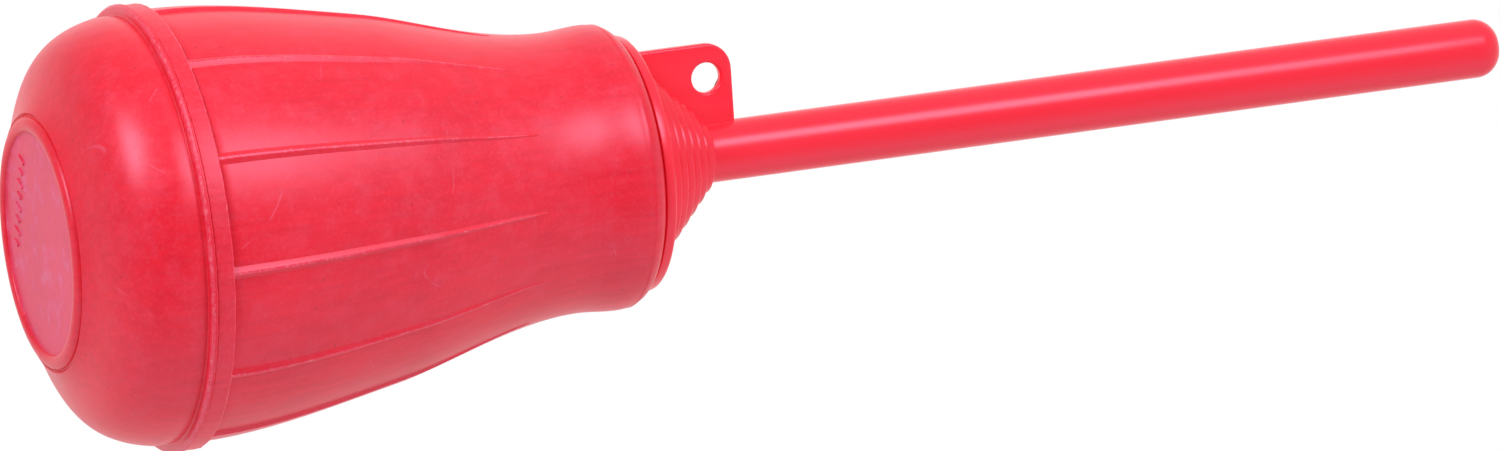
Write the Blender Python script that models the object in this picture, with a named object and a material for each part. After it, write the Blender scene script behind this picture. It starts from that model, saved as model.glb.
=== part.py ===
"""Bulb-type battery filler, standing on its foot ring with the spout up.

Frame: origin in the middle of the foot ring's plane, +Z along the spout, hang tab towards -X.
The soft bulb is two moulded rubber halves bonded at the belt, and the nozzle pulls out of the neck.
"""

import math

import bmesh
import bpy
from mathutils import Matrix, Vector

MM = 0.001

# Driving dimensions, in metres
BELT_RADIUS = 50.0 * MM
TOTAL_LENGTH = 351.2 * MM
SPOUT_RADIUS = 6.8 * MM
WALL = 3.0 * MM
PIECE_GAP = 0.3 * MM
SEGMENTS = 48

# Bulb, lower half
FOOT_OUTER = 27.4 * MM
FOOT_INNER = 24.9 * MM
FOOT_ROUND = 0.5 * MM
PANEL_RECESS = 1.2 * MM
CREASE = (28.0 * MM, 0.8 * MM)
FLOOR_THICKNESS = 3.2 * MM
SHELL_AT_BELT = 48.15 * MM
LIP_BOTTOM = 24.0 * MM
LIP_TOP = 26.0 * MM
LIP_CHAMFER = 0.4 * MM

# Bulb, upper half
BAND_RADIUS = BELT_RADIUS - 0.4 * MM
BAND_TOP = 29.5 * MM
WAIST_RADIUS = 31.6 * MM
WAIST_HEIGHT = 122.0 * MM
MOUTH_RADIUS = 29.4 * MM
MOUTH_HEIGHT = 136.9 * MM
NECK_BORE = 25.6 * MM
NECK_BORE_START = 118.0 * MM
SHOULDER_END = 106.0 * MM
RIB_COUNT = 12
RIB_PHASE = math.radians(3.0)
RIB_END = 108.0 * MM
RIB_HEIGHT = 1.0 * MM
RIB_WIDTH = 2.9 * MM
RIB_TIP_WIDTH = 0.7 * MM
RIB_CREST_SHARE = 0.55
RIB_ROOT_DEPTH = 1.5 * MM

# Nozzle
FLANGE_RADIUS = 29.1 * MM
FLANGE_FACE = 139.9 * MM
FLANGE_ROUND = 0.7 * MM
STEP = 2.5 * MM
STEP_COUNT = 6
FIRST_STEP_RADIUS = 21.8 * MM
FIRST_STEP_TOP = 143.9 * MM
STEP_ROUND = 0.35 * MM
TIP_ROUND = 5.5 * MM
TIP_HOLE = 3.5 * MM
TIP_LAND = 0.8 * MM
BORE_ROOT = 5.0 * MM
PLUG_RADIUS = NECK_BORE - 0.7 * MM
PLUG_BOTTOM = 119.0 * MM
GRIP_RADIUS = NECK_BORE - PIECE_GAP
GRIP_HEIGHTS = (123.0 * MM, 129.0 * MM)
GRIP_HALF_WIDTH = 1.5 * MM
PLUG_WALL = 2.4 * MM
THROAT_SUM = 159.5 * MM

# Hang tab, in the plane of the axis
TAB_REACH = 24.9 * MM
TAB_TOP = 164.6 * MM
TAB_CORNER = 6.0 * MM
TAB_THICKNESS = 2.5 * MM
TAB_EDGE_ROUND = 0.4 * MM
TAB_ROOT_SUM = 161.5 * MM
TAB_ROOT_REACH = 5.9 * MM
TAB_HOLE_RADIUS = 3.45 * MM
TAB_HOLE = (17.2 * MM, 158.5 * MM)

RUBBER_RED = (0.72, 0.045, 0.065, 1.0)
NOZZLE_RED = (0.86, 0.035, 0.045, 1.0)


def clear_scene():
    for old in list(bpy.data.objects):
        bpy.data.objects.remove(old, do_unlink=True)


def bezier(start, handle_a, handle_b, end, steps):
    """Points of a cubic curve, both ends included."""
    points = []
    for i in range(steps + 1):
        t = i / steps
        s = 1.0 - t
        weights = (s ** 3, 3 * s * s * t, 3 * s * t * t, t ** 3)
        corners = (start, handle_a, handle_b, end)
        points.append(tuple(sum(w * c[k] for w, c in zip(weights, corners)) for k in (0, 1)))
    return points


def arc(centre, radius, first, last, steps):
    """Points of an arc in the (radius, height) plane; angles in degrees from outwards."""
    points = []
    for i in range(steps + 1):
        a = math.radians(first + (last - first) * i / steps)
        points.append((centre[0] + radius * math.cos(a), centre[1] + radius * math.sin(a)))
    return points


def inner_skin(outline, wall):
    """The outline moved in by the wall; it runs down the outside, top to bottom."""
    points = []
    for i, (r, z) in enumerate(outline):
        before = outline[max(i - 1, 0)]
        after = outline[min(i + 1, len(outline) - 1)]
        dr, dz = after[0] - before[0], after[1] - before[1]
        length = math.hypot(dr, dz)
        points.append((r + wall * dz / length, z - wall * dr / length))
    return points


def finish(bm, name, material):
    """Weld, turn the faces outwards and make the object."""
    bmesh.ops.remove_doubles(bm, verts=bm.verts, dist=1e-6)
    bmesh.ops.recalc_face_normals(bm, faces=bm.faces)
    mesh = bpy.data.meshes.new(name)
    bm.to_mesh(mesh)
    bm.free()
    mesh.shade_smooth()
    mesh.set_sharp_from_angle(angle=math.radians(35))
    mesh.materials.append(material)
    piece = bpy.data.objects.new(name, mesh)
    bpy.context.scene.collection.objects.link(piece)
    return piece


def turned(name, outline, material, closed):
    """Spin an outline of (radius, height) points about the Z axis."""
    bm = bmesh.new()
    verts = [bm.verts.new((r, 0.0, z)) for r, z in outline]
    pairs = list(zip(verts, verts[1:]))
    if closed:
        pairs.append((verts[-1], verts[0]))
    edges = [bm.edges.new(pair) for pair in pairs]
    bmesh.ops.spin(
        bm, geom=verts + edges, cent=(0, 0, 0), axis=(0, 0, 1),
        steps=SEGMENTS, angle=2 * math.pi, use_merge=True,
    )
    return finish(bm, name, material)


def plastic(name, colour, roughness):
    material = bpy.data.materials.new(name)
    material.use_nodes = True
    shader = material.node_tree.nodes["Principled BSDF"]
    shader.inputs["Base Color"].default_value = colour
    shader.inputs["Roughness"].default_value = roughness
    shader.inputs["Metallic"].default_value = 0.0
    return material


def join_solid(piece, tool, operation):
    """Add or cut a tool body, which is left out of the model."""
    tool.hide_render = True
    tool.display_type = "WIRE"
    boolean = piece.modifiers.new(operation.lower(), "BOOLEAN")
    boolean.operation = operation
    boolean.object = tool
    boolean.solver = "EXACT"


def bulb_base(rubber):
    """Domed lower half: recessed panel, foot ring, dome, and the lip of the belt."""
    dome = bezier(
        (SHELL_AT_BELT, LIP_BOTTOM), (46.1 * MM, 4.1 * MM), (35.4 * MM, 6.3 * MM), (28.6 * MM, 0.9 * MM), 9
    )
    floor_top = PANEL_RECESS + FLOOR_THICKNESS
    inside = [p for p in inner_skin(dome, WALL) if p[1] > floor_top + 0.5 * MM]
    shell_inside = SHELL_AT_BELT - WALL
    lip = [
        (shell_inside, LIP_TOP),
        (BELT_RADIUS - LIP_CHAMFER, LIP_TOP),
        (BELT_RADIUS, LIP_TOP - LIP_CHAMFER),
        (BELT_RADIUS, LIP_BOTTOM + LIP_CHAMFER),
        (BELT_RADIUS - LIP_CHAMFER, LIP_BOTTOM),
    ]
    foot = arc((FOOT_OUTER - FOOT_ROUND, FOOT_ROUND), FOOT_ROUND, 0, -90, 2)
    foot += arc((FOOT_INNER + FOOT_ROUND, FOOT_ROUND), FOOT_ROUND, -90, -180, 2)
    outline = [(0.0, floor_top), (inside[-1][0] - 2 * MM, floor_top)]
    outline += inside[::-1] + lip + dome + [CREASE] + foot
    outline += [(FOOT_INNER, PANEL_RECESS), (0.0, PANEL_RECESS)]
    return turned("bulb_base", outline, rubber, closed=False)


def body_outline():
    """Outer outline of the upper half, from the mouth down to the belt."""
    waist = (WAIST_RADIUS, WAIST_HEIGHT)
    flank = (41.6 * MM, 77.0 * MM)
    neck = bezier((MOUTH_RADIUS, MOUTH_HEIGHT), (33.9 * MM, 134.8 * MM), (WAIST_RADIUS, 128.2 * MM), waist, 5)
    shoulder = bezier(waist, (WAIST_RADIUS, 106.5 * MM), (39.2 * MM, 89.4 * MM), flank, 6)
    lower = bezier(flank, (44.9 * MM, 60.0 * MM), (48.4 * MM, 45.0 * MM), (SHELL_AT_BELT, BAND_TOP), 5)
    return neck + shoulder[1:] + lower[1:]


def rib(name, angle, outline, rubber):
    """A ridge that rises from the shell at the belt and fades out under the shoulder."""
    stations = [p for p in outline if p[1] < RIB_END]
    top = stations[0][1]
    bm = bmesh.new()
    rings = []
    for r, z in stations:
        share = (top - z) / (top - BAND_TOP)
        half = (RIB_TIP_WIDTH + (RIB_WIDTH - RIB_TIP_WIDTH) * share) / 2
        crest = r + RIB_HEIGHT * (1.15 * share ** 0.6 - 0.15)
        root = r - RIB_ROOT_DEPTH
        crest_half = half * RIB_CREST_SHARE
        level = z if z > BAND_TOP + 0.1 * MM else BAND_TOP - 1.0 * MM
        section = ((root, -half), (crest, -crest_half), (crest, crest_half), (root, half))
        rings.append([bm.verts.new((x, y, level)) for x, y in section])
    bm.faces.new(rings[0])
    bm.faces.new(rings[-1])
    for above, below in zip(rings, rings[1:]):
        for k in range(4):
            bm.faces.new((above[k], above[k - 1], below[k - 1], below[k]))
    bmesh.ops.rotate(bm, verts=bm.verts, cent=(0, 0, 0), matrix=Matrix.Rotation(angle, 3, "Z"))
    return finish(bm, name, rubber)


def bulb_body(rubber):
    """Upper half: the belt's band, the ribbed flank, and the neck that grips the nozzle."""
    outline = body_outline()
    band = [
        (BAND_RADIUS - 0.3 * MM, BAND_TOP),
        (BAND_RADIUS, BAND_TOP - 0.3 * MM),
        (BAND_RADIUS, LIP_TOP + PIECE_GAP),
    ]
    inside = [p for p in inner_skin(outline, WALL) if BAND_TOP < p[1] < SHOULDER_END]
    bore = [(NECK_BORE, NECK_BORE_START), (NECK_BORE, MOUTH_HEIGHT)]
    start = [(SHELL_AT_BELT - WALL, LIP_TOP + PIECE_GAP), (SHELL_AT_BELT - WALL, BAND_TOP)]
    body = turned("bulb_body", outline + band + start + inside[::-1] + bore, rubber, closed=True)
    for i in range(RIB_COUNT):
        angle = RIB_PHASE + i * 2 * math.pi / RIB_COUNT
        join_solid(body, rib(f"rib_{i:02d}", angle, outline, rubber), "UNION")
    return body


def cone_steps():
    """The stepped 45 degree cone, from the spout down to the flange."""
    points = []
    for i in reversed(range(STEP_COUNT)):
        radius = FIRST_STEP_RADIUS - i * STEP
        top = FIRST_STEP_TOP + i * STEP
        points.append((radius - STEP, top))
        points += arc((radius - STEP_ROUND, top - STEP_ROUND), STEP_ROUND, 90, 0, 1)
    return points


def spout_tip():
    """Bullet-shaped end: from the hole's rim round to the straight tube."""
    turn = math.acos(1 - (SPOUT_RADIUS - TIP_HOLE - TIP_LAND) / TIP_ROUND)
    centre = (SPOUT_RADIUS - TIP_ROUND, TOTAL_LENGTH - TIP_ROUND * math.sin(turn))
    return [(TIP_HOLE, TOTAL_LENGTH)] + arc(centre, TIP_ROUND, math.degrees(turn), 0, 4)


def grip(height):
    """A low ring on the plug that bites into the neck."""
    return [
        (PLUG_RADIUS, height + GRIP_HALF_WIDTH),
        (GRIP_RADIUS, height + 0.5 * MM),
        (GRIP_RADIUS, height - 0.1 * MM),
        (PLUG_RADIUS, height - GRIP_HALF_WIDTH),
    ]


def hang_tab(plastic_red):
    """Flat tab in the plane of the axis, with its root inside the cone's wall."""
    flange_root = FLANGE_FACE - 1.1 * MM
    corner = arc((TAB_REACH - TAB_CORNER, TAB_TOP - TAB_CORNER), TAB_CORNER, 0, 90, 8)
    outline = [(TAB_REACH, flange_root)] + corner
    outline += [(TAB_ROOT_REACH, TAB_TOP), (TAB_ROOT_REACH, TAB_ROOT_SUM - TAB_ROOT_REACH)]
    outline += [(TAB_ROOT_SUM - flange_root, flange_root)]
    bm = bmesh.new()
    face = bm.faces.new([bm.verts.new((-reach, -TAB_THICKNESS / 2, z)) for reach, z in outline])
    grown = bmesh.ops.extrude_face_region(bm, geom=[face])["geom"]
    moved = [g for g in grown if isinstance(g, bmesh.types.BMVert)]
    bmesh.ops.translate(bm, verts=moved, vec=Vector((0, TAB_THICKNESS, 0)))
    rim = [e for e in bm.edges if abs(e.verts[0].co.y - e.verts[1].co.y) < 1e-9]
    bmesh.ops.bevel(bm, geom=rim, offset=TAB_EDGE_ROUND, segments=2, profile=0.5, affect="EDGES")
    return finish(bm, "tab_blank", plastic_red)


def tab_hole_cutter(plastic_red):
    """Pin-shaped cutter across the tab."""
    bm = bmesh.new()
    across = Matrix.Translation((-TAB_HOLE[0], 0, TAB_HOLE[1])) @ Matrix.Rotation(math.pi / 2, 4, "X")
    bmesh.ops.create_cone(
        bm, cap_ends=True, segments=32, radius1=TAB_HOLE_RADIUS, radius2=TAB_HOLE_RADIUS,
        depth=4 * TAB_THICKNESS, matrix=across,
    )
    return finish(bm, "tab_hole_cutter", plastic_red)


def nozzle(plastic_red):
    """One moulding: plug, flange, stepped funnel cone, hang tab and spout."""
    root_top = FIRST_STEP_TOP + (STEP_COUNT - 1) * STEP
    flange_bottom = MOUTH_HEIGHT + PIECE_GAP
    flange = [(FIRST_STEP_RADIUS, FLANGE_FACE)]
    flange += arc((FLANGE_RADIUS - FLANGE_ROUND, FLANGE_FACE - FLANGE_ROUND), FLANGE_ROUND, 90, 0, 3)
    flange += [(FLANGE_RADIUS, flange_bottom), (PLUG_RADIUS, flange_bottom)]
    outline = spout_tip() + [(SPOUT_RADIUS, root_top + STEP_ROUND)] + cone_steps()[1:] + flange
    for height in reversed(GRIP_HEIGHTS):
        outline += grip(height)
    bore = PLUG_RADIUS - PLUG_WALL
    outline += [(PLUG_RADIUS, PLUG_BOTTOM), (bore, PLUG_BOTTOM)]
    outline += [(bore, THROAT_SUM - bore), (BORE_ROOT, THROAT_SUM - BORE_ROOT)]
    outline += [(TIP_HOLE, TOTAL_LENGTH - 6 * MM)]
    piece = turned("nozzle", outline, plastic_red, closed=True)
    tab = hang_tab(plastic_red)
    join_solid(tab, tab_hole_cutter(plastic_red), "DIFFERENCE")
    join_solid(piece, tab, "UNION")
    return piece


def build():
    clear_scene()
    rubber = plastic("moulded_rubber_red", RUBBER_RED, 0.55)
    plastic_red = plastic("polyethylene_red", NOZZLE_RED, 0.35)
    bulb_base(rubber)
    bulb_body(rubber)
    nozzle(plastic_red)


build()
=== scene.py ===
"""Looks of a bulb-type battery filler: two-part moulded rubber bulb and a one-piece plastic nozzle."""

import math

import bmesh
import bpy
from mathutils import Euler, Matrix, Vector


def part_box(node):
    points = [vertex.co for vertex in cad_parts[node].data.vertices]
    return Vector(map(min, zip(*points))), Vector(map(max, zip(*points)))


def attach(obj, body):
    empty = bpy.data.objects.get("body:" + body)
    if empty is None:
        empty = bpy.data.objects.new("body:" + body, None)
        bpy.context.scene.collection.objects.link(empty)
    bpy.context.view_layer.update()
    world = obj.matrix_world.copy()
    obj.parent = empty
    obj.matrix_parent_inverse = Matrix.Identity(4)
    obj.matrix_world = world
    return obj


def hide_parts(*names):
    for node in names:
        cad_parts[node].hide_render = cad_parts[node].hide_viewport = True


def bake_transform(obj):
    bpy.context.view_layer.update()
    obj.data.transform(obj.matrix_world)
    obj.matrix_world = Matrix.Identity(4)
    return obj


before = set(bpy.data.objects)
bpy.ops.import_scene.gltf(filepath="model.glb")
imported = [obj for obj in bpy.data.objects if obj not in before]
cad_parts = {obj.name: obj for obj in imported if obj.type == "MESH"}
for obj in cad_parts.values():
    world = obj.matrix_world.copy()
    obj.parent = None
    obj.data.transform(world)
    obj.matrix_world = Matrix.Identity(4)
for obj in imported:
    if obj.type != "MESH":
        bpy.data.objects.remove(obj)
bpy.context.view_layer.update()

MM = 0.001
base_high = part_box("bulb_base")[1]
body_low, body_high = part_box("bulb_body")
nozzle_low, nozzle_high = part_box("nozzle")

# Bulb, in metres, worked out from the frame's boxes and the rubber's own sizes
BELT_RADIUS = base_high.x
LIP_TOP = base_high.z
LIP_BOTTOM = LIP_TOP - 2.0 * MM
SHELL_AT_BELT = BELT_RADIUS - 1.85 * MM
RUBBER_WALL = 3.0 * MM
FOOT_INNER = 24.8 * MM
PANEL_RECESS = 1.0 * MM
CREASE_RADIUS = 28.1 * MM
CREASE_HEIGHT = 1.6 * MM
FOOT_BULGE = 0.38 * MM
DOME_HANDLES = ((46.1 * MM, 4.1 * MM), (35.4 * MM, 6.3 * MM))
DOME_END = (28.9 * MM, 1.2 * MM)
PANEL_THICKNESS = 3.2 * MM
BAND_BOTTOM = body_low.z
BAND_TOP = BAND_BOTTOM + 3.2 * MM
BAND_RADIUS = body_high.x
MOUTH_HEIGHT = body_high.z
MOUTH_RADIUS = 29.4 * MM
NECK_BORE = 25.6 * MM
NECK_BORE_START = 118.0 * MM
WAIST_RADIUS = 31.6 * MM
WAIST_HEIGHT = 122.0 * MM
FLANK_RADIUS = 41.6 * MM
FLANK_HEIGHT = 77.0 * MM
NECK_HANDLES = ((33.9 * MM, 134.8 * MM), (WAIST_RADIUS, 128.2 * MM))
SHOULDER_HANDLES = ((WAIST_RADIUS, 106.5 * MM), (39.2 * MM, 89.4 * MM))
BELLY_HANDLES = ((44.9 * MM, 60.0 * MM), (48.4 * MM, 45.0 * MM))
INSIDE_SHOULDER_TOP = 106 * MM

# Plain raised bars on the foot's panel
MARK_COUNT = 8
MARK_PITCH = 3.1
MARK_START = -12.0
MARK_OFFSET = 15.7 * MM
MARK_TURN = math.radians(23)

# Ribs
RIB_COUNT = 12
RIB_PHASE = math.radians(3.0)
RIB_END = 110.0 * MM
RIB_WIDTH = 4.9 * MM
RIB_HEIGHT = 0.8 * MM
RIB_DEPTH = 0.8 * MM
RIB_CREST = 0.55 * MM
RIB_TAPER = 0.42
RIB_SMALLEST = 0.12
RIB_CREST_SHARE = 0.75

# Nozzle
FLANGE_BOTTOM = MOUTH_HEIGHT + 0.42 * MM
FLANGE_RADIUS = nozzle_high.x
FLANGE_FACE = MOUTH_HEIGHT + 3.0 * MM
STEP = 2.5 * MM
STEP_COUNT = 6
STEP_DRAFT = 0.5 * MM
FIRST_STEP_RADIUS = 21.8 * MM
FIRST_STEP_TOP = FLANGE_FACE + 4.0 * MM
SPOUT_RADIUS = 6.8 * MM
SPOUT_TIP_RADIUS = 6.75 * MM
TIP = nozzle_high.z
TIP_ROUND = 5.5 * MM
TIP_HOLE = 3.5 * MM
TIP_RIM = 4.3 * MM
BORE_ROOT = 5.0 * MM
PLUG_BOTTOM = nozzle_low.z
PLUG_RADIUS = 24.9 * MM
GRIP_RADIUS = 25.3 * MM
GRIP_HEIGHTS = (129.0 * MM, 123.0 * MM)
PLUG_BORE = 22.5 * MM
THROAT_SUM = 159.5 * MM
TAB_REACH = 24.9 * MM
TAB_TOP = 164.6 * MM
TAB_CORNER = 6.0 * MM
TAB_THICKNESS = 2.5 * MM
TAB_ROOT_REACH = 5.9 * MM
TAB_ROOT_SUM = 161.5 * MM
TAB_HOLE_RADIUS = 3.45 * MM
TAB_HOLE = Vector((-17.2 * MM, 0.0, 158.5 * MM))

BULB_COLUMNS = 240
NOZZLE_COLUMNS = 160
SMOOTH_UNDER = 32

# Places of the finishes in the bulb halves' material slots; the rubbed finish is partly a painted highlight
# and the powdered one partly a painted reflection
PLAIN, TRIMMED, RUBBED_AND_HIGHLIGHT, POWDER_AND_REFLECTION = range(4)


# ---------------------------------------------------------------- outlines


def bezier(start, handle_a, handle_b, end, steps):
    """Points of a cubic curve in the (radius, height) plane, both ends included."""
    points = []
    for i in range(steps + 1):
        t = i / steps
        s = 1.0 - t
        weights = (s ** 3, 3 * s * s * t, 3 * s * t * t, t ** 3)
        corners = (start, handle_a, handle_b, end)
        points.append(tuple(sum(w * c[k] for w, c in zip(weights, corners)) for k in (0, 1)))
    return points


def rounded(corners, closed=False, steps=4):
    """An outline from (radius, height, rounding) corners, each cut back by its rounding."""
    points = []
    count = len(corners)
    for i, (r, z, cut) in enumerate(corners):
        if cut == 0 or (not closed and i in (0, count - 1)):
            points.append((r, z))
            continue
        here = Vector((r, z))
        sides = []
        for other in (corners[i - 1], corners[(i + 1) % count]):
            way = Vector(other[:2]) - here
            sides.append(here + way.normalized() * min(cut, way.length * 0.49))
        for k in range(steps + 1):
            t = k / steps
            p = sides[0] * (1 - t) ** 2 + here * 2 * t * (1 - t) + sides[1] * t ** 2
            points.append((p.x, p.y))
    return points


def inner_skin(outline, wall):
    """The outline moved in by the wall; it runs down the outside, top to bottom."""
    points = []
    for i, (r, z) in enumerate(outline):
        before = outline[max(i - 1, 0)]
        after = outline[min(i + 1, len(outline) - 1)]
        along = Vector(after) - Vector(before)
        along.normalize()
        points.append((r + wall * along.y, z - wall * along.x))
    return points


# ---------------------------------------------------------------- modelling by hand


def pick_only(obj):
    bpy.ops.object.select_all(action="DESELECT")
    obj.select_set(True)
    bpy.context.view_layer.objects.active = obj


def in_space(point):
    """A (radius, height) point as a place beside the axis."""
    return (point[0], 0, point[1])


def select_verts(obj, test):
    """Select the vertices of the piece being edited that pass a test on their place in the frame."""
    bpy.ops.mesh.select_mode(type="VERT")
    bpy.ops.mesh.select_all(action="DESELECT")
    cage = bmesh.from_edit_mesh(obj.data)
    for vert in cage.verts:
        vert.select = test(obj.matrix_world @ vert.co)
    cage.select_flush_mode()
    bmesh.update_edit_mesh(obj.data)


def grow_ring(here, there):
    """Extrude the selected ring up or down, and scale it to its new radius."""
    bpy.ops.mesh.extrude_region_move(TRANSFORM_OT_translate={"value": (0, 0, there[1] - here[1])})
    ratio = there[0] / here[0]
    bpy.ops.transform.resize(value=(ratio, ratio, 1), center_override=(0, 0, there[1]))


def turned(name, outline, columns, closed):
    """A ring grown point by point along an outline, as on a lathe."""
    bpy.ops.object.select_all(action="DESELECT")
    bpy.ops.mesh.primitive_circle_add(
        vertices=columns, radius=outline[0][0], location=(0, 0, outline[0][1]), fill_type="NOTHING"
    )
    obj = bpy.context.active_object
    obj.name = obj.data.name = name
    bpy.ops.object.mode_set(mode="EDIT")
    bpy.ops.mesh.select_all(action="SELECT")
    stops = outline + outline[:1] if closed else outline
    for here, there in zip(stops, stops[1:]):
        grow_ring(here, there)
    if not closed:
        bpy.ops.mesh.select_all(action="SELECT")
        bpy.ops.mesh.region_to_loop()
        bpy.ops.mesh.edge_face_add()
    bpy.ops.mesh.select_all(action="SELECT")
    bpy.ops.mesh.remove_doubles(threshold=0.002 * MM)
    bpy.ops.mesh.normals_make_consistent(inside=False)
    bpy.ops.object.mode_set(mode="OBJECT")
    settle(obj)
    return obj


def settle(obj):
    """Put the piece's place into its mesh."""
    pick_only(obj)
    bpy.ops.object.transform_apply(location=True, rotation=True, scale=True)


def join_solid(obj, tool, operation):
    """Unite with, or cut by, another solid, which is then removed."""
    pick_only(obj)
    cut = obj.modifiers.new(operation.lower(), "BOOLEAN")
    cut.operation = operation
    cut.object = tool
    cut.solver = "MANIFOLD"
    bpy.ops.object.modifier_apply(modifier=cut.name)
    bpy.data.objects.remove(tool, do_unlink=True)


def smooth(obj, degrees):
    pick_only(obj)
    bpy.ops.object.shade_smooth_by_angle(angle=math.radians(degrees))


def turn_about_axis(obj, angle):
    """Rotate a piece about the bulb's axis."""
    obj.matrix_world = Matrix.Rotation(angle, 4, "Z") @ obj.matrix_world
    settle(obj)


def merged(pieces, name):
    """Join pieces into one object."""
    bpy.ops.object.select_all(action="DESELECT")
    for piece in pieces:
        piece.select_set(True)
    bpy.context.view_layer.objects.active = pieces[0]
    bpy.ops.object.join()
    pieces[0].name = name
    return pieces[0]


# ---------------------------------------------------------------- rubber bulb


def lower_half():
    """Recessed panel, foot ring, dome and the belt's narrow lip, with the wall behind them."""
    dome = bezier((SHELL_AT_BELT, LIP_BOTTOM), *DOME_HANDLES, DOME_END, 34)
    bead = bezier(
        (CREASE_RADIUS, CREASE_HEIGHT), (CREASE_RADIUS, -FOOT_BULGE), (FOOT_INNER, -FOOT_BULGE),
        (FOOT_INNER, PANEL_RECESS - 0.2 * MM), 14
    )
    crease = [
        (CREASE_RADIUS + 0.45 * MM, CREASE_HEIGHT - 0.05 * MM),
        (CREASE_RADIUS + 0.2 * MM, CREASE_HEIGHT + 0.1 * MM),
    ]
    foot = crease + bead + [(FOOT_INNER - 0.2 * MM, PANEL_RECESS), (FOOT_INNER - 3 * MM, PANEL_RECESS)]
    panel = [(r * MM, PANEL_RECESS) for r in (18, 12, 6, 1)]
    lip = rounded([
        (SHELL_AT_BELT - RUBBER_WALL, LIP_TOP - 1 * MM, 0),
        (SHELL_AT_BELT - RUBBER_WALL, BAND_BOTTOM - 0.01 * MM, 0.1 * MM),
        (BAND_RADIUS, BAND_BOTTOM - 0.01 * MM, 0),
        (BAND_RADIUS, LIP_BOTTOM + 1.6 * MM, 0.15 * MM),
        (BAND_RADIUS - 0.3 * MM, LIP_BOTTOM + 1.5 * MM, 0.1 * MM),
        (BELT_RADIUS, LIP_BOTTOM + 1.35 * MM, 0.12 * MM),
        (BELT_RADIUS, LIP_BOTTOM + 0.85 * MM, 0.2 * MM),
        (BELT_RADIUS - 0.6 * MM, LIP_BOTTOM + 0.1 * MM, 0.3 * MM),
        (SHELL_AT_BELT, LIP_BOTTOM + 0.1 * MM, 0.3 * MM),
        (SHELL_AT_BELT - 0.6 * MM, LIP_BOTTOM - 0.15 * MM, 0.3 * MM),
        (dome[1][0], dome[1][1], 0),
    ])
    floor_top = PANEL_RECESS + PANEL_THICKNESS
    inside = [p for p in inner_skin(dome, RUBBER_WALL) if p[1] > floor_top + 0.5 * MM]
    floor = [(1 * MM, floor_top), (12 * MM, floor_top), (inside[-1][0] - 2 * MM, floor_top)]
    outline = floor + inside[::-1] + lip[:-1] + dome[2:] + foot + panel
    half = turned("rubber_lower_half", outline, BULB_COLUMNS, closed=False)
    ragged(half, LIP_BOTTOM + 1.0 * MM, LIP_BOTTOM + 1.45 * MM, BELT_RADIUS - 0.3 * MM, 0.35 * MM)
    join_solid(half, size_marks(), "UNION")
    return half


def ragged(obj, low, high, radius, amount):
    """Make a trimmed moulding edge uneven, as where flash was cut or torn off."""
    edge = obj.vertex_groups.new(name="trimmed")
    edge.add([
        v.index for v in obj.data.vertices
        if low < v.co.z < high and math.hypot(v.co.x, v.co.y) > radius
    ], 1.0, "REPLACE")
    clouds = bpy.data.textures.new(obj.name + "_trim", "CLOUDS")
    clouds.noise_scale = 2.2 * MM
    pick_only(obj)
    push = obj.modifiers.new("uneven", "DISPLACE")
    push.texture = clouds
    push.texture_coords = "LOCAL"
    push.vertex_group = edge.name
    push.strength = amount
    push.mid_level = 0.5
    bpy.ops.object.modifier_apply(modifier=push.name)
    obj.vertex_groups.clear()


def size_marks():
    """Row of plain raised bars on the underside's panel, standing for the moulder's marks."""
    bars = []
    for i in range(MARK_COUNT):
        bpy.ops.object.select_all(action="DESELECT")
        at = ((MARK_START + MARK_PITCH * i) * MM, MARK_OFFSET, PANEL_RECESS + 0.4 * MM)
        bpy.ops.mesh.primitive_plane_add(size=1, location=at)
        bar = bpy.context.active_object
        bar.name = bar.data.name = "size_mark"
        bpy.ops.object.mode_set(mode="EDIT")
        bpy.ops.mesh.select_all(action="SELECT")
        bpy.ops.transform.resize(value=(1.2 * MM, (3.0 if i % 2 else 4.2) * MM, 1), center_override=at)
        bpy.ops.mesh.bevel(offset=0.5 * MM, segments=4, affect="VERTICES")
        bpy.ops.mesh.select_all(action="SELECT")
        bpy.ops.mesh.extrude_region_move(TRANSFORM_OT_translate={"value": (0, 0, -0.8 * MM)})
        bpy.ops.transform.resize(value=(0.7, 0.9, 1), center_override=at)
        bpy.ops.mesh.select_all(action="SELECT")
        bpy.ops.mesh.normals_make_consistent(inside=False)
        bpy.ops.object.mode_set(mode="OBJECT")
        settle(bar)
        turn_about_axis(bar, MARK_TURN)
        bars.append(bar)
    return merged(bars, "size_marks")


def body_outline():
    """Outer outline of the upper half, from the mouth down to the belt."""
    waist = (WAIST_RADIUS, WAIST_HEIGHT)
    flank = (FLANK_RADIUS, FLANK_HEIGHT)
    neck = bezier((MOUTH_RADIUS, MOUTH_HEIGHT), *NECK_HANDLES, waist, 24)
    neck = neck[:6] + neck_line(neck[6:9]) + neck[9:]
    shoulder = bezier(waist, *SHOULDER_HANDLES, flank, 20)
    belly = bezier(flank, *BELLY_HANDLES, (SHELL_AT_BELT, BAND_TOP), 18)
    return neck + shoulder[1:] + belly[1:]


def neck_line(points):
    """The mould's joint line near the mouth: a low step put into three points of the outline."""
    (r0, z0), (r1, z1), (r2, z2) = points
    return [(r0, z0), (r1, z1), (r1 + 0.19 * MM, z1 - 0.1 * MM), (r1 + 0.18 * MM, z1 - 0.35 * MM), (r2, z2)]


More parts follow.
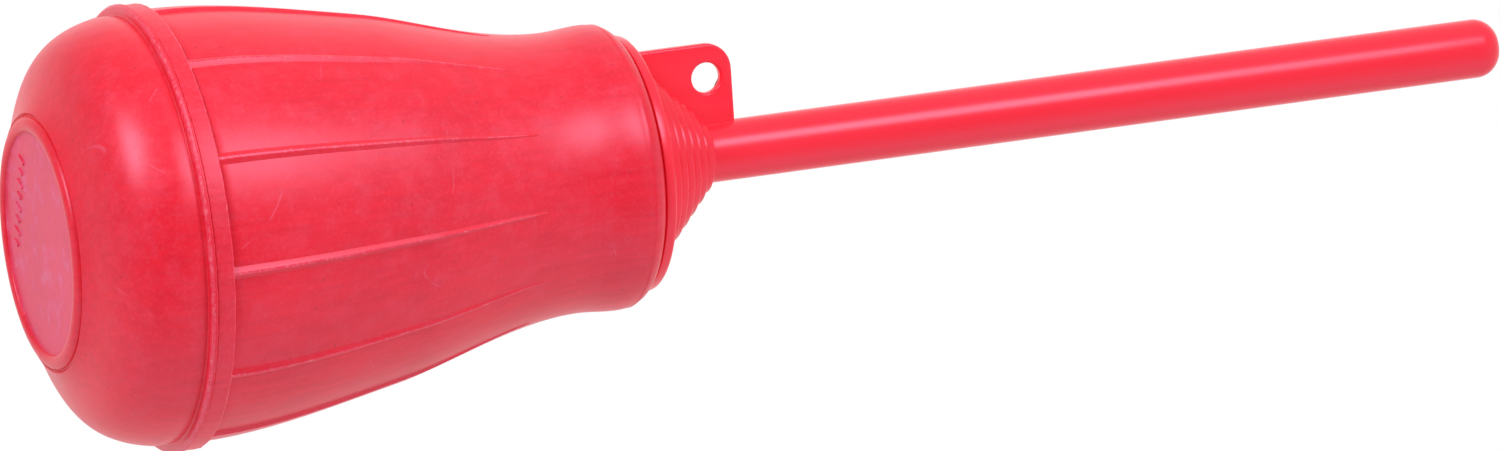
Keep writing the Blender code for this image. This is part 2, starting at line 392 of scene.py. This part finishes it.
def rib_blank(outline):
    """One ridge: a small section with a narrow crest, drawn down the flank and growing as it goes."""
    stations = [p for p in outline if BAND_TOP - 0.1 * MM < p[1] < RIB_END]
    start = stations[0]
    bpy.ops.object.select_all(action="DESELECT")
    bpy.ops.mesh.primitive_plane_add(size=1, location=(start[0], 0, start[1]))
    obj = bpy.context.active_object
    obj.name = obj.data.name = "rib"
    bpy.ops.object.mode_set(mode="EDIT")
    bpy.ops.mesh.select_all(action="SELECT")
    bpy.ops.transform.resize(value=(RIB_HEIGHT + RIB_DEPTH, RIB_WIDTH, 1), center_override=in_space(start))
    bpy.ops.transform.translate(value=((RIB_HEIGHT - RIB_DEPTH) / 2, 0, 0))
    select_verts(obj, lambda co: co.x > start[0])
    bpy.ops.transform.resize(value=(1, RIB_CREST / RIB_WIDTH, 1), center_override=in_space(start))
    bpy.ops.mesh.bevel(offset=0.12 * MM, segments=2, affect="VERTICES")
    bpy.ops.mesh.select_all(action="SELECT")
    size = RIB_SMALLEST
    bpy.ops.transform.resize(value=(size, size, 1), center_override=in_space(start))
    span = start[1] - BAND_TOP
    for here, there in zip(stations, stations[1:]):
        step = (there[0] - here[0], 0, there[1] - here[1])
        bpy.ops.mesh.extrude_region_move(TRANSFORM_OT_translate={"value": step})
        share = (start[1] - there[1]) / span
        wanted = max(RIB_SMALLEST, min(1.0, share) ** RIB_TAPER)
        ratio = wanted / size
        bpy.ops.transform.resize(value=(ratio, ratio, 1), center_override=in_space(there))
        size = wanted
    bpy.ops.mesh.extrude_region_move(TRANSFORM_OT_translate={"value": (0, 0, -0.8 * MM)})
    bpy.ops.mesh.select_all(action="SELECT")
    bpy.ops.mesh.normals_make_consistent(inside=False)
    bpy.ops.object.mode_set(mode="OBJECT")
    settle(obj)
    return obj


def upper_half():
    """The belt's band, the ribbed flank, the rolled neck and the bore that grips the nozzle."""
    outline = body_outline()
    band = rounded([
        (SHELL_AT_BELT + 0.05 * MM, BAND_TOP + 0.8 * MM, 0),
        (SHELL_AT_BELT - 0.2 * MM, BAND_TOP + 0.2 * MM, 0.3 * MM),
        (SHELL_AT_BELT + 0.3 * MM, BAND_TOP, 0.2 * MM),
        (BAND_RADIUS + 0.05 * MM, BAND_TOP, 0.3 * MM),
        (BAND_RADIUS, BAND_BOTTOM, 0),
        (SHELL_AT_BELT - RUBBER_WALL, BAND_BOTTOM, 0.1 * MM),
        (SHELL_AT_BELT - RUBBER_WALL, BAND_TOP + 2 * MM, 0),
    ])
    inside = [p for p in inner_skin(outline, RUBBER_WALL) if BAND_TOP + 2 * MM < p[1] < INSIDE_SHOULDER_TOP]
    bore = rounded([
        (NECK_BORE, NECK_BORE_START, 0),
        (NECK_BORE, MOUTH_HEIGHT, 0.4 * MM),
        (MOUTH_RADIUS - 0.1 * MM, MOUTH_HEIGHT, 0),
    ])
    outside = [p for p in outline[1:] if p[1] > BAND_TOP + 0.9 * MM]
    body = turned("rubber_upper_half", outside + band + inside[::-1] + bore, BULB_COLUMNS, closed=True)
    ragged(body, BAND_TOP - 0.5 * MM, BAND_TOP + 0.05 * MM, BAND_RADIUS - 0.3 * MM, 0.3 * MM)
    ribs = []
    first = rib_blank(outline)
    for i in range(RIB_COUNT):
        copy = first.copy()
        copy.data = first.data.copy()
        bpy.context.scene.collection.objects.link(copy)
        turn_about_axis(copy, RIB_PHASE + i * 2 * math.pi / RIB_COUNT)
        ribs.append(copy)
    bpy.data.objects.remove(first, do_unlink=True)
    join_solid(body, merged(ribs, "ribs"), "UNION")
    return body


# ---------------------------------------------------------------- plastic nozzle


def nozzle_turning():
    """Spout, stepped cone, flange and plug, with the bore through them."""
    root_top = FIRST_STEP_TOP + (STEP_COUNT - 1) * STEP
    turn = math.acos(1 - (SPOUT_TIP_RADIUS - TIP_RIM) / TIP_ROUND)
    tip = [(TIP_HOLE, TIP - 0.25 * MM), (TIP_HOLE + 0.2 * MM, TIP)]
    for i in range(11):
        a = turn * (1 - i / 10)
        drop = TIP_ROUND * (math.sin(turn) - math.sin(a))
        tip.append((SPOUT_TIP_RADIUS - TIP_ROUND * (1 - math.cos(a)), TIP - drop))
    spout = []
    for i in range(1, 13):
        share = i / 13
        spout.append((
            SPOUT_TIP_RADIUS + (SPOUT_RADIUS - SPOUT_TIP_RADIUS) * share,
            tip[-1][1] + (root_top + 2.6 * MM - tip[-1][1]) * share,
        ))
    corners = [(SPOUT_RADIUS, root_top + 2.4 * MM, 0), (SPOUT_RADIUS, root_top, 1.1 * MM)]
    for i in reversed(range(STEP_COUNT)):
        radius = FIRST_STEP_RADIUS - i * STEP
        top = FIRST_STEP_TOP + i * STEP
        foot = FLANGE_FACE if i == 0 else top - STEP
        corners.append((radius - STEP_DRAFT, top, 0.35 * MM))
        corners.append((radius, foot + 0.75 * MM, 0.5 * MM))
        corners.append((radius - 0.35 * MM, foot, 0.25 * MM))
    corners += [
        (FLANGE_RADIUS - 0.3 * MM, FLANGE_FACE, 0.8 * MM),
        (FLANGE_RADIUS, FLANGE_BOTTOM, 0.5 * MM),
        (PLUG_RADIUS, FLANGE_BOTTOM, 0.3 * MM),
    ]
    for height in GRIP_HEIGHTS:
        corners += [
            (PLUG_RADIUS, height + 1.5 * MM, 0.2 * MM),
            (GRIP_RADIUS, height + 0.4 * MM, 0.2 * MM),
            (GRIP_RADIUS, height - 0.2 * MM, 0.2 * MM),
            (PLUG_RADIUS, height - 1.5 * MM, 0.2 * MM),
        ]
    corners += [
        (PLUG_RADIUS, PLUG_BOTTOM, 0.5 * MM),
        (PLUG_BORE, PLUG_BOTTOM, 0.5 * MM),
        (PLUG_BORE, THROAT_SUM - PLUG_BORE, 1.0 * MM),
        (BORE_ROOT, THROAT_SUM - BORE_ROOT, 1.0 * MM),
        (TIP_HOLE, TIP - 6 * MM, 0),
    ]
    outline = tip + spout + rounded(corners, steps=3)
    return turned("nozzle_moulding", outline, NOZZLE_COLUMNS, closed=True)


def tab_plate():
    """Flat plate with a rounded outer corner, a hole and rounded rims, cut back along the cone's wall."""
    low = FLANGE_FACE - 1.1 * MM
    width = TAB_REACH - TAB_ROOT_REACH
    height = TAB_TOP - low
    centre = (-(TAB_ROOT_REACH + width / 2), -TAB_THICKNESS / 2, low + height / 2)
    bpy.ops.object.select_all(action="DESELECT")
    bpy.ops.mesh.primitive_plane_add(size=1, location=centre, rotation=(math.pi / 2, 0, 0))
    obj = bpy.context.active_object
    obj.name = obj.data.name = "hang_tab"
    bpy.ops.object.mode_set(mode="EDIT")
    bpy.ops.mesh.select_all(action="SELECT")
    bpy.ops.transform.resize(value=(width, 1, height), center_override=centre)
    select_verts(obj, lambda co: co.x < centre[0] and co.z > centre[2])
    bpy.ops.mesh.bevel(offset=TAB_CORNER, segments=14, affect="VERTICES")
    bpy.ops.mesh.select_all(action="SELECT")
    bpy.ops.mesh.extrude_region_move(TRANSFORM_OT_translate={"value": (0, TAB_THICKNESS, 0)})
    bpy.ops.mesh.select_all(action="SELECT")
    bpy.ops.mesh.bisect(
        plane_co=(0, 0, TAB_ROOT_SUM), plane_no=(-1, 0, 1), use_fill=True, clear_inner=True
    )
    bpy.ops.mesh.select_all(action="SELECT")
    bpy.ops.mesh.normals_make_consistent(inside=False)
    bpy.ops.object.mode_set(mode="OBJECT")
    settle(obj)
    bpy.ops.object.select_all(action="DESELECT")
    bpy.ops.mesh.primitive_cylinder_add(
        vertices=64, radius=TAB_HOLE_RADIUS, depth=4 * TAB_THICKNESS, location=TAB_HOLE,
        rotation=(math.pi / 2, 0, 0),
    )
    join_solid(obj, bpy.context.active_object, "DIFFERENCE")
    pick_only(obj)
    bpy.ops.object.mode_set(mode="EDIT")
    bpy.ops.mesh.select_mode(type="EDGE")
    bpy.ops.mesh.select_all(action="DESELECT")
    bpy.ops.mesh.edges_select_sharp(sharpness=math.radians(40))
    bpy.ops.mesh.bevel(offset=0.6 * MM, segments=4, affect="EDGES")
    bpy.ops.object.mode_set(mode="OBJECT")
    return obj


def nozzle_moulding():
    piece = nozzle_turning()
    join_solid(piece, tab_plate(), "UNION")
    return piece


# ---------------------------------------------------------------- finishes


def hex_linear(code):
    """An sRGB hex colour as linear RGBA."""
    parts = [int(code[i:i + 2], 16) / 255 for i in (1, 3, 5)]
    return tuple(c / 12.92 if c <= 0.04045 else ((c + 0.055) / 1.055) ** 2.4 for c in parts) + (1.0,)


def add(tree, kind, sockets=None, **settings):
    """Add a shader node; a socket given as a value is linked, anything else is set."""
    made = tree.nodes.new("ShaderNode" + kind)
    for key, value in settings.items():
        setattr(made, key, value)
    for key, value in (sockets or {}).items():
        if isinstance(value, bpy.types.NodeSocket):
            tree.links.new(value, made.inputs[key])
        else:
            made.inputs[key].default_value = value
    return made


def new_material(name):
    material = bpy.data.materials.new(name)
    material.use_nodes = True
    return material, material.node_tree, material.node_tree.nodes["Principled BSDF"]


def moulded_natural_rubber(name, bright, deep, film_and_sheen_colour, roughness, grain, bloom_and_sheen, speckle):
    """Press-moulded natural rubber: a satin red, softly mottled by wax bloom, with pale hairline scuffs.

    Grain and scuffs are drawn a little coarser than real ones, so that they show at arm's length.
    The bloom and speckle numbers say how pale the film and the dust get, and the third colour is theirs;
    where the film is strong, as on the panel and the rubbed edges, it is partly a painted sheen."""
    material, tree, shader = new_material(name)
    place = add(tree, "TexCoord").outputs["Object"]

    # Broad shades of the red, with fine streaks along the axis where the rubber flowed
    broad = add(tree, "TexNoise", {"Vector": place, "Scale": 1 / (28 * MM), "Detail": 2.0}).outputs["Fac"]
    drawn = add(tree, "Mapping", {"Vector": place, "Scale": (1.0, 1.0, 0.12)}).outputs["Vector"]
    streak = add(tree, "TexNoise", {"Vector": drawn, "Scale": 1 / (1.6 * MM), "Detail": 3.0}).outputs["Fac"]
    broad = add(tree, "Math", {0: broad, 1: streak}, operation="ADD").outputs["Value"]
    broad = add(tree, "MapRange", {"Value": broad, "From Min": 0.75, "From Max": 1.25}).outputs["Result"]
    red = add(tree, "Mix", {
        "Factor": broad, "A": hex_linear(deep), "B": hex_linear(bright)
    }, data_type="RGBA")

    # Wax bloom: a pale film in patches a few millimetres across; where it is strong, as on the panel and the
    # rubbed edges, it is partly a painted sheen
    patch = add(tree, "TexNoise", {"Vector": place, "Scale": 1 / (5 * MM), "Detail": 4.0, "Roughness": 0.6})
    patch = add(tree, "MapRange", {
        "Value": patch.outputs["Fac"], "From Min": 0.46, "From Max": 0.74, "To Max": bloom_and_sheen
    })
    patch = patch.outputs["Result"]

    # Speckle of dust and talc in the pores
    dust = add(tree, "TexNoise", {"Vector": place, "Scale": 1 / (0.8 * MM), "Detail": 2.0}).outputs["Fac"]
    dust = add(tree, "MapRange", {"Value": dust, "From Min": 0.5, "From Max": 0.75, "To Max": speckle})
    dust = dust.outputs["Result"]

    # Hairline scuffs: short pieces of the level lines of a broad, smooth pattern
    level = add(tree, "TexNoise", {"Vector": place, "Scale": 1 / (34 * MM), "Detail": 0.0}).outputs["Fac"]
    off = add(tree, "Math", {0: level, 1: 0.5}, operation="SUBTRACT").outputs["Value"]
    off = add(tree, "Math", {0: off}, operation="ABSOLUTE").outputs["Value"]
    line = add(tree, "MapRange", {
        "Value": off, "From Max": 0.0032, "To Min": 1.0, "To Max": 0.0
    }).outputs["Result"]
    where = add(tree, "TexNoise", {"Vector": place, "Scale": 1 / (7 * MM), "Detail": 1.0}).outputs["Fac"]
    where = add(tree, "MapRange", {"Value": where, "From Min": 0.58, "From Max": 0.66, "To Max": 0.13})
    scuff = add(tree, "Math", {0: line, 1: where.outputs["Result"]}, operation="MULTIPLY").outputs["Value"]

    pale = add(tree, "Math", {0: patch, 1: dust}, operation="ADD").outputs["Value"]
    pale = add(tree, "Math", {0: pale, 1: scuff}, operation="ADD", use_clamp=True).outputs["Value"]
    hazy = add(tree, "Mix", {
        "Factor": pale, "A": red.outputs["Result"], "B": hex_linear(film_and_sheen_colour)
    }, data_type="RGBA")

    # Dark specks of grit pressed into the skin
    speck = add(tree, "TexVoronoi", {"Vector": place, "Scale": 1 / (6 * MM)}).outputs["Distance"]
    speck = add(tree, "MapRange", {
        "Value": speck, "From Min": 0.02, "From Max": 0.05, "To Min": 0.6, "To Max": 0.0
    })
    tinted = add(tree, "Mix", {
        "Factor": speck.outputs["Result"], "A": hazy.outputs["Result"], "B": hex_linear("#7A0C1C")
    }, data_type="RGBA")
    tree.links.new(tinted.outputs["Result"], shader.inputs["Base Color"])
    rough = add(tree, "MapRange", {
        "Value": pale, "From Max": 0.1, "To Min": roughness, "To Max": roughness + 0.1
    })
    tree.links.new(rough.outputs["Result"], shader.inputs["Roughness"])

    # Grain of the mould's face over slow waves of the wall
    fine = add(tree, "TexNoise", {"Vector": place, "Scale": 1 / (0.9 * MM), "Detail": 3.0}).outputs["Fac"]
    wave = add(tree, "TexNoise", {"Vector": place, "Scale": 1 / (9 * MM), "Detail": 1.0}).outputs["Fac"]
    swell = add(tree, "Bump", {"Height": wave, "Distance": 0.15 * MM, "Strength": 0.6})
    bump = add(tree, "Bump", {
        "Height": fine, "Distance": grain, "Strength": 0.6, "Normal": swell.outputs["Normal"]
    })
    tree.links.new(bump.outputs["Normal"], shader.inputs["Normal"])
    shader.inputs["IOR"].default_value = 1.55
    shader.inputs["Specular Tint"].default_value = (0.9, 0.7, 1.0, 1.0)
    return material


def injection_moulded_polyethylene(name):
    """Injection-moulded polyethylene: bright waxy red, semi-gloss, with faint flow lines along the spout."""
    material, tree, shader = new_material(name)
    place = add(tree, "TexCoord").outputs["Object"]
    drawn = add(tree, "Mapping", {"Vector": place, "Scale": (1.0, 1.0, 0.06)}).outputs["Vector"]
    flow = add(tree, "TexNoise", {"Vector": drawn, "Scale": 1 / (2.5 * MM), "Detail": 3.0}).outputs["Fac"]
    red = add(tree, "Mix", {
        "Factor": flow, "A": hex_linear("#F82234"), "B": hex_linear("#FE2A3E")
    }, data_type="RGBA")
    tree.links.new(red.outputs["Result"], shader.inputs["Base Color"])
    rough = add(tree, "MapRange", {"Value": flow, "To Min": 0.24, "To Max": 0.34}).outputs["Result"]
    tree.links.new(rough, shader.inputs["Roughness"])
    fine = add(tree, "TexNoise", {"Vector": place, "Scale": 1 / (1.2 * MM), "Detail": 2.0}).outputs["Fac"]
    long = add(tree, "TexNoise", {"Vector": drawn, "Scale": 1 / (4 * MM), "Detail": 1.0}).outputs["Fac"]
    sink = add(tree, "Bump", {"Height": long, "Distance": 0.05 * MM, "Strength": 0.5})
    bump = add(tree, "Bump", {
        "Height": fine, "Distance": 0.01 * MM, "Strength": 0.5, "Normal": sink.outputs["Normal"]
    })
    tree.links.new(bump.outputs["Normal"], shader.inputs["Normal"])
    shader.inputs["IOR"].default_value = 1.54
    shader.inputs["Specular Tint"].default_value = (0.9, 0.7, 1.0, 1.0)
    return material


def dress(piece, *materials):
    piece.data.materials.clear()
    for material in materials:
        piece.data.materials.append(material)


def dress_belt(piece):
    """Give the belt's faces the trimmed finish, and its lip and the band's edge the paler rubbed one, which
    is partly wear and partly a painted highlight along these edges.
    """
    for face in piece.data.polygons:
        z, r = face.center.z, math.hypot(face.center.x, face.center.y)
        face.material_index = PLAIN
        if LIP_BOTTOM - 0.1 * MM < z < BAND_TOP + 0.1 * MM and r > SHELL_AT_BELT + 0.5 * MM:
            on_lip = z < LIP_BOTTOM + 0.8 * MM
            on_band_edge = z > BAND_TOP - 0.4 * MM
            # Lip and band edge painted paler: a painted highlight along with wear
            face.material_index = RUBBED_AND_HIGHLIGHT if on_lip or on_band_edge else TRIMMED


def dress_panel(piece):
    """Give the foot's recessed panel and the marks on it the powdered finish, whose pinker colour is partly
    mould powder and partly a painted pink-lilac reflection.
    """
    for face in piece.data.polygons:
        inside_foot = math.hypot(face.center.x, face.center.y) < FOOT_INNER - 0.1 * MM
        if inside_foot and face.center.z < PANEL_RECESS + 0.1 * MM:
            # Panel painted pinker: mould powder plus a painted reflection
            face.material_index = POWDER_AND_REFLECTION


def dress_crests(piece, outline):
    """Give the ribs' narrow crests the paler rubbed finish: partly wear, partly a painted highlight line
    along each crest.
    """
    for face in piece.data.polygons:
        c = face.center
        if not BAND_TOP + 0.3 * MM < c.z < RIB_END:
            continue
        share = (RIB_END - c.z) / (RIB_END - BAND_TOP)
        for (r0, z0), (r1, z1) in zip(outline, outline[1:]):
            if z1 <= c.z <= z0:
                shell = r1 + (r0 - r1) * (c.z - z1) / (z0 - z1)
                if math.hypot(c.x, c.y) > shell + RIB_CREST_SHARE * RIB_HEIGHT * share ** RIB_TAPER:
                    # Crest faces painted paler: a painted highlight line along with wear
                    face.material_index = RUBBED_AND_HIGHLIGHT
                break


# ---------------------------------------------------------------- studio

TENT_WALL = 1.24


def camera():
    """Long lens, looking up at the filler from below its foot, rolled so that the spout runs to the right."""
    aim = Vector((17.9 * MM, 0.1 * MM, 167.0 * MM))
    distance = 2.56
    heading, rise, roll = math.radians(-12), math.radians(19.69), math.radians(82.12)
    turn = Euler((math.pi / 2 + rise, 0, heading)).to_matrix() @ Matrix.Rotation(roll, 3, "Z")
    data = bpy.data.cameras.new("camera")
    data.sensor_width = 36
    data.lens = 273
    obj = bpy.data.objects.new("camera", data)
    bpy.context.scene.collection.objects.link(obj)
    obj.rotation_mode = "QUATERNION"
    obj.rotation_quaternion = turn.to_quaternion()
    obj.location = aim + turn @ Vector((0, 0, distance))
    data.clip_start, data.clip_end = 0.05, 50
    bpy.context.scene.camera = obj
    return turn


def softbox(name, turn, sideways, upwards, towards, size, power):
    """An area light placed in the camera's own directions, aimed at the middle of the filler."""
    middle = Vector((0, 0, 0.16))
    data = bpy.data.lights.new(name, "AREA")
    data.shape = "RECTANGLE"
    data.size, data.size_y = size
    data.energy = power
    obj = bpy.data.objects.new(name, data)
    bpy.context.scene.collection.objects.link(obj)
    obj.location = middle + turn @ Vector((sideways, upwards, towards))
    out = (obj.location - middle).normalized()
    side = (turn @ Vector((1, 0, 0)) - out * (turn @ Vector((1, 0, 0))).dot(out)).normalized()
    obj.rotation_mode = "QUATERNION"
    obj.rotation_quaternion = Matrix((side, out.cross(side), out)).transposed().to_quaternion()
    return obj


def surroundings(shades):
    """A pale tent all round, dimmer towards each of the shaded directions."""
    world = bpy.data.worlds.new("pale_tent")
    bpy.context.scene.world = world
    world.use_nodes = True
    tree = world.node_tree
    back = tree.nodes["Background"]
    way = add(tree, "TexCoord").outputs["Generated"]
    strength = TENT_WALL
    for towards, edge, share in shades:
        facing = add(tree, "VectorMath", {0: way, 1: tuple(towards.normalized())}, operation="DOT_PRODUCT")
        shade = add(tree, "MapRange", {
            "Value": facing.outputs["Value"], "From Min": edge, "From Max": 1.0,
            "To Min": 1.0, "To Max": share,
        }, interpolation_type="SMOOTHSTEP").outputs["Result"]
        strength = add(tree, "Math", {0: strength, 1: shade}, operation="MULTIPLY").outputs["Value"]
    tree.links.new(strength, back.inputs["Strength"])
    back.inputs["Color"].default_value = (1.0, 1.0, 1.0, 1.0)
    seen = add(tree, "Background", {"Color": (1.0, 1.0, 1.0, 1.0), "Strength": 1.0})
    path = add(tree, "LightPath")
    mix = add(tree, "MixShader", {"Fac": path.outputs["Is Camera Ray"]})
    tree.links.new(back.outputs["Background"], mix.inputs[1])
    tree.links.new(seen.outputs["Background"], mix.inputs[2])
    tree.links.new(mix.outputs["Shader"], tree.nodes["World Output"].inputs["Surface"])


def floor():
    """A pale one-sided floor: seen from above with the filler's soft shadow, clear from below."""
    bpy.ops.object.select_all(action="DESELECT")
    bpy.ops.mesh.primitive_plane_add(size=40, location=(0, 0, 0))
    obj = bpy.context.active_object
    obj.name = "floor"
    material, tree, shader = new_material("pale_paper")
    shader.inputs["Base Color"].default_value = hex_linear("#F6F5F3")
    shader.inputs["Roughness"].default_value = 0.9
    clear = add(tree, "BsdfTransparent")
    side = add(tree, "NewGeometry").outputs["Backfacing"]
    mix = add(tree, "MixShader", {"Fac": side})
    tree.links.new(shader.outputs["BSDF"], mix.inputs[1])
    tree.links.new(clear.outputs["BSDF"], mix.inputs[2])
    tree.links.new(mix.outputs["Shader"], tree.nodes["Material Output"].inputs["Surface"])
    dress(obj, material)
    obj.visible_diffuse = obj.visible_glossy = obj.visible_transmission = obj.visible_shadow = False


# ---------------------------------------------------------------- put together

turn = camera()
# Each shade: its direction in the camera's own axes, where it begins, and how much light is left there
surroundings([
    (turn @ Vector((0, 0, 1)), 0.1, 0.2),
    (turn @ Vector((0.2, 0.95, 0.1)), 0.2, 0.6),
    (turn @ Vector((0.1, -0.75, -0.65)), 0.55, 0.66),
    (turn @ Vector((-1.0, 0.0, -0.3)), 0.25, 0.7),
    (turn @ Vector((-0.75, 0.65, -0.1)), 0.45, 0.6),
    (turn @ Vector((1.0, 0.1, -0.3)), 0.3, 0.7),
])
floor()
softbox("key_left", turn, -0.66, 0.68, 0.9, (0.44, 0.5), 8.0)
softbox("key_right", turn, 0.66, 0.72, 0.88, (0.6, 0.5), 7.4)
bpy.context.scene.view_settings.view_transform = "Standard"

# As it leaves the mould: satin, with a thin bloom
rubber = moulded_natural_rubber(
    "moulded_natural_rubber", "#F01C30", "#E2162C", "#EAA2CC",
    roughness=0.35, grain=0.02 * MM, bloom_and_sheen=0.045, speckle=0.04
)
# Where the belt's flash was cut off: coarser and a little duller
trimmed = moulded_natural_rubber(
    "trimmed_natural_rubber", "#F02438", "#E01C32", "#F4AED0",
    roughness=0.4, grain=0.06 * MM, bloom_and_sheen=0.03, speckle=0.05
)
# Edges and crests: paler, partly from wear by hands and benches with more dust held in the skin, partly a
# painted highlight along the rib crests and the belt's lip and band edge
rubbed_and_highlight = moulded_natural_rubber(
    "rubbed_and_highlight_natural_rubber", "#F2324E", "#E82840", "#FFC0D4",
    roughness=0.32, grain=0.04 * MM, bloom_and_sheen=0.1, speckle=0.2
)
# The sheltered panel, pinker and flatter: partly mould powder and bloom, partly a painted pink-lilac
# reflection of light at a grazing angle
powder_and_reflection = moulded_natural_rubber(
    "powder_and_reflection_natural_rubber", "#EE325A", "#E22C50", "#E6A8D8",
    roughness=0.42, grain=0.03 * MM, bloom_and_sheen=0.26, speckle=0.08
)
plastic = injection_moulded_polyethylene("injection_moulded_polyethylene_red")

lower = lower_half()
dress(lower, rubber, trimmed, rubbed_and_highlight, powder_and_reflection)
dress_belt(lower)
dress_panel(lower)
smooth(lower, SMOOTH_UNDER)
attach(lower, "base")
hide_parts("bulb_base")

upper = upper_half()
dress(upper, rubber, trimmed, rubbed_and_highlight)
dress_belt(upper)
dress_crests(upper, body_outline())
smooth(upper, SMOOTH_UNDER)
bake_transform(upper)
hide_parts("bulb_body")

moulding = nozzle_moulding()
dress(moulding, plastic)
smooth(moulding, SMOOTH_UNDER)
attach(moulding, "funnel")
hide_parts("nozzle")
